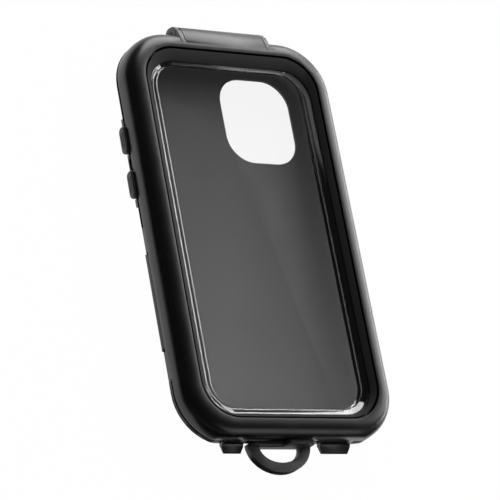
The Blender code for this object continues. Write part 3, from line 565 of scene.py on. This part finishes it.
# %% Film outlines
RIM_X, RIM_Y = 0.0400, 0.0776
FILM_STEPS = (
    (7.30, 7.30, 6.600, 5.600, 4.26), (7.09, 7.09, 6.420, 5.440, 4.26),
    (6.97, 6.97, 6.400, 5.437, 4.23), (6.84, 6.75, 6.355, 5.434, 4.15),
    (6.72, 6.45, 6.300, 5.431, 4.05), (6.62, 6.10, 6.250, 5.428, 3.96),
    (6.52, 5.70, 6.205, 5.425, 3.89), (6.40, 5.30, 6.190, 5.420, 3.86),
    (6.20, 5.15, 6.189, 5.350, 3.88), (5.85, 5.05, 6.188, 5.250, 3.94),
    (5.50, 4.95, 6.187, 5.140, 4.00), (5.22, 4.87, 6.186, 5.040, 4.05),
    (5.08, 4.80, 6.175, 4.980, 4.03), (4.80, 4.60, 6.095, 4.740, 3.89),
    (4.20, 4.15, 5.915, 4.200, 3.58), (3.70, 3.70, 5.740, 3.680, 3.28),
    (3.36, 3.36, 5.610, 3.280, 3.05), (3.12, 3.12, 5.535, 3.050, 2.92),
    (2.97, 2.97, 5.480, 2.750, 2.83), (2.85, 2.85, 5.300, 2.300, 2.83),
)
FILM_EDGE = 0.0012
FILM_FLANGE_DEPTH = 0.00283
print("film steps:", len(FILM_STEPS))

# %% Film
FRONT_Z = cad_box[1][2]
FILM_CORNER = 0.0145
FILM_CORNER_LOSS = 0.66
FILM_EDGE_CORNER = 0.0136
FILM_CORNER_STEPS = 14
FILM_SKIN = 0.00006
FILM_SHADE_ANGLE = math.radians(40)


def inside_rim(left, right, top, bottom):
    """Left, right, bottom and top of an outline that lies inside the rim line."""
    return -RIM_X + left, RIM_X - right, -RIM_Y + bottom, RIM_Y - top


film_skin, state = start_outline("film_skin", FILM_CORNER_STEPS)
for number, step in enumerate(FILM_STEPS):
    *insets, depth = [value / 1000 for value in step]
    radius = FILM_CORNER - insets[0] * FILM_CORNER_LOSS
    place = (*inside_rim(*insets), radius, FRONT_Z - depth)
    if number == 0:
        move_corners(film_skin, state, *place)
        bpy.ops.mesh.edge_face_add()
        bpy.ops.mesh.select_all(action="SELECT")
    else:
        grow_outline(film_skin, state, *place)
grow_outline(
    film_skin, state, *inside_rim(FILM_EDGE, FILM_EDGE, FILM_EDGE, FILM_EDGE), FILM_EDGE_CORNER,
    FRONT_Z - FILM_FLANGE_DEPTH)
bpy.ops.mesh.select_all(action="SELECT")
bpy.ops.mesh.normals_make_consistent(inside=False)
bpy.ops.object.mode_set(mode="OBJECT")
if film_skin.data.polygons[0].normal.z < 0:
    film_skin.data.flip_normals()
wall = film_skin.modifiers.new("wall", "SOLIDIFY")
wall.thickness = FILM_SKIN
wall.offset = -1
bpy.ops.object.modifier_apply(modifier="wall")
bpy.ops.object.shade_smooth_by_angle(angle=FILM_SHADE_ANGLE)
film_skin.data.materials.append(film_clear)
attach(film_skin, "cover")
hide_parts("touch_film")
print("film faces:", len(film_skin.data.polygons))

# %% [markdown]
# ## Small fittings
# Two details are too small for the measured solids. The first is a round boss on each hinge ear, over
# the end of the pin, with a groove round its middle. It starts as a short cylinder, and two insets
# and two extrudes of its outer end make the groove.

# %% Helpers for fittings
SMALL_STEPS = 2
SMALL_SHADE_ANGLE = math.radians(35)


def box_of(node):
    """The two opposite corners of a measured part."""
    corners = [nodes[node].matrix_world @ Vector(corner) for corner in nodes[node].bound_box]
    low = Vector([min(corner[axis] for corner in corners) for axis in range(3)])
    high = Vector([max(corner[axis] for corner in corners) for axis in range(3)])
    return low, high


def pick_end(made, side):
    """In edit mode, select the flat end of a piece that lies furthest to one side along X."""
    bpy.ops.mesh.select_mode(type="FACE")
    bpy.ops.mesh.select_all(action="DESELECT")
    mesh = bmesh.from_edit_mesh(made.data)
    end = max(mesh.faces, key=lambda face: side * face.calc_center_median().x)
    end.select_set(True)
    bmesh.update_edit_mesh(made.data)


# %% Bosses over the pin's ends
BOSS_RADIUS = 0.0017
BOSS_SIDES = 48
BOSS_PROUD = 0.00025
BOSS_RIM = 0.0005
BOSS_GROOVE = 0.0003
BOSS_EDGE = 0.00006

pin_low, pin_high = box_of("hinge_pin")
for side, word, end_x in ((-1, "left", pin_low.x), (1, "right", pin_high.x)):
    bpy.ops.object.select_all(action="DESELECT")
    place = (end_x, (pin_low.y + pin_high.y) / 2, (pin_low.z + pin_high.z) / 2)
    bpy.ops.mesh.primitive_cylinder_add(
        vertices=BOSS_SIDES, radius=BOSS_RADIUS, depth=2 * BOSS_PROUD, location=place,
        rotation=(0, math.radians(90), 0))
    boss = bpy.context.object
    boss.name = "pin_boss_" + word
    bpy.ops.object.transform_apply(location=True, rotation=True, scale=True)
    bpy.ops.object.mode_set(mode="EDIT")
    pick_end(boss, side)
    bpy.ops.mesh.inset(thickness=BOSS_RIM)
    bpy.ops.mesh.extrude_region_move(TRANSFORM_OT_translate={"value": (-side * BOSS_PROUD, 0, 0)})
    bpy.ops.mesh.inset(thickness=BOSS_GROOVE)
    bpy.ops.mesh.extrude_region_move(TRANSFORM_OT_translate={"value": (side * BOSS_PROUD, 0, 0)})
    bpy.ops.object.mode_set(mode="OBJECT")
    round_edges(boss, BOSS_EDGE, SMALL_STEPS, SMALL_SHADE_ANGLE)
    boss.data.materials.append(satin_black)
    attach(boss, "rear")
    print(boss.name, "faces:", len(boss.data.polygons))

# %% [markdown]
# The second detail is a pair of low ridges on each pad, for a finger to feel. Each ridge is a narrow
# cube that stands half in the pad, so there is no seam to close, and it rides with its pad.

# %% Ridges on the pads
RIDGE_SPACING = 0.0013
RIDGE_DEPTH = 0.00030
RIDGE_WIDTH = 0.00045
RIDGE_END = 0.0023
RIDGE_EDGE = 0.00012

for pad, rider, side in PADS:
    low, high = box_of(pad)
    face_x = low.x if side < 0 else high.x
    for number in (-1, 1):
        bpy.ops.object.select_all(action="DESELECT")
        place = (face_x, (low.y + high.y) / 2, (low.z + high.z) / 2 + number * RIDGE_SPACING / 2)
        bpy.ops.mesh.primitive_cube_add(size=1, location=place)
        ridge = bpy.context.object
        ridge.name = f"{pad}_ridge_{'upper' if number > 0 else 'lower'}"
        ridge.scale = (RIDGE_DEPTH, high.y - low.y - 2 * RIDGE_END, RIDGE_WIDTH)
        bpy.ops.object.transform_apply(location=True, rotation=True, scale=True)
        round_edges(ridge, RIDGE_EDGE, SMALL_STEPS, SMALL_SHADE_ANGLE)
        ridge.data.materials.append(pad_rubber)
        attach(ridge, rider)

# %% [markdown]
# ## Parts that stay as measured
# The seals, the camera window and the hinge pin already have their real shape, and hardly any of
# their edges can be seen, so they only get their finishes.

# %% Finishes for the measured parts
def finish_with(material, *names):
    for name in names:
        slots = nodes[name].data.materials
        slots.clear()
        slots.append(material)
    print(material.name, "on", ", ".join(names))


finish_with(soft_rubber, "main_seal", "camera_window_seal")
finish_with(soft_rubber, "volume_up_seal", "volume_down_seal", "side_seal")
finish_with(pane_clear, "camera_window")
finish_with(turned_steel, "hinge_pin")
